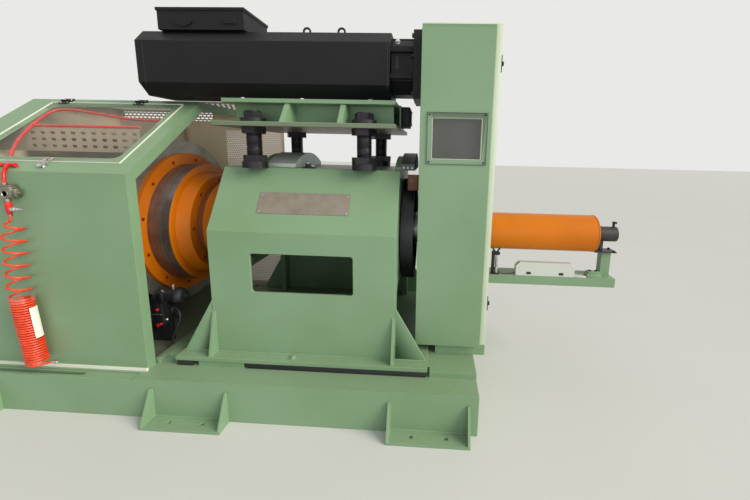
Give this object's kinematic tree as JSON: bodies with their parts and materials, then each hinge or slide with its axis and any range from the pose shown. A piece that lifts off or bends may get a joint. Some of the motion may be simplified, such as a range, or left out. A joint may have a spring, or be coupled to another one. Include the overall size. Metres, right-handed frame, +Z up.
{
  "type": "tubular stranding machine",
  "caption": "Drive end of a tubular stranding machine: guarded rotor tube, headstock on a bed, motor on a jacked platform, belt guard and output tube.",
  "frame": {"origin": "on the floor, below the middle of the headstock and the rotor's axis", "axes": "+X along the strand towards the outlet, +Y away from the operator's side, +Z up"},
  "size_m": [4.278, 1.7, 2.396],
  "materials": {
    "beige_paint": "matt powder coat",
    "black_nylon": "machined nylon",
    "black_oxide_steel": "black oxide",
    "brake_steel": "ground",
    "brown_primer": "matt primer",
    "caliper_casting": "black lacquer",
    "clear_sheet": "clear acrylic sheet",
    "dark_steel": "turned and oiled",
    "galvanised_steel": "galvanised sheet",
    "green_paint": "semi-gloss sprayed enamel on mild steel",
    "motor_enamel": "satin enamel",
    "nameplate_aluminium": "brushed and bare",
    "orange_paint": "semi-gloss sprayed enamel",
    "pale_green_paint": "satin sprayed enamel",
    "red_hose": "extruded polyurethane",
    "tube_paint": "semi-gloss sprayed enamel",
    "turned_steel": "turned, lightly oiled",
    "white_trim": "satin"
  },
  "bodies": {
    "stand": {"air_valve": "caliper_casting", "bearing_housings": "turned_steel", "bed_cross_beams": "green_paint", "bed_feet": "green_paint", "bed_long_beams": "green_paint", "bed_top_plate": "green_paint", "belt_guard_casing": "green_paint", "belt_guard_door": "green_paint", "belt_guard_window": "clear_sheet", "brake_bracket": "green_paint", "brake_caliper": "caliper_casting", "guard_end_flanges": "green_paint", "guard_front_panel": "green_paint", "guard_left_end": "green_paint", "guard_rear_wall": "beige_paint", "guard_roof": "green_paint", "guard_screen": "beige_paint", "guard_sill": "white_trim", "guard_window": "clear_sheet", "guide_block": "pale_green_paint", "headstock_front_panel": "green_paint", "headstock_gussets": "green_paint", "headstock_hood": "galvanised_steel", "headstock_left_plate": "green_paint", "headstock_nameplate": "nameplate_aluminium", "headstock_rear_panel": "green_paint", "headstock_right_plate": "green_paint", "headstock_sole": "green_paint", "headstock_top_plate": "green_paint", "jack_studs": "black_oxide_steel", "motor_body": "motor_enamel", "motor_flange": "motor_enamel", "motor_lifting_eyes": "turned_steel", "motor_terminal_box": "motor_enamel", "outlet_arm": "green_paint", "platform_lower_plate": "green_paint", "platform_ribs": "green_paint", "platform_upper_plate": "green_paint", "shaft_hood": "dark_steel", "spiral_hose": "red_hose", "wire_guide": "black_nylon"},
    "rotor": {"rotor_tube": "tube_paint", "rotor_coupling_flange": "turned_steel", "brake_disc": "brake_steel", "rotor_flange": "orange_paint", "support_ring": "dark_steel", "rotor_neck": "orange_paint", "rotor_recess": "brown_primer", "rotor_hub": "orange_paint", "drive_drum": "dark_steel", "main_shaft": "turned_steel", "output_tube": "orange_paint"}
  },
  "joints": [
    {"name": "rotor_spin", "type": "hinge", "parent": "stand", "child": "rotor", "pos_m": [0, 0, 1], "axis": [1, 0, 0], "continuous": true}
  ]
}
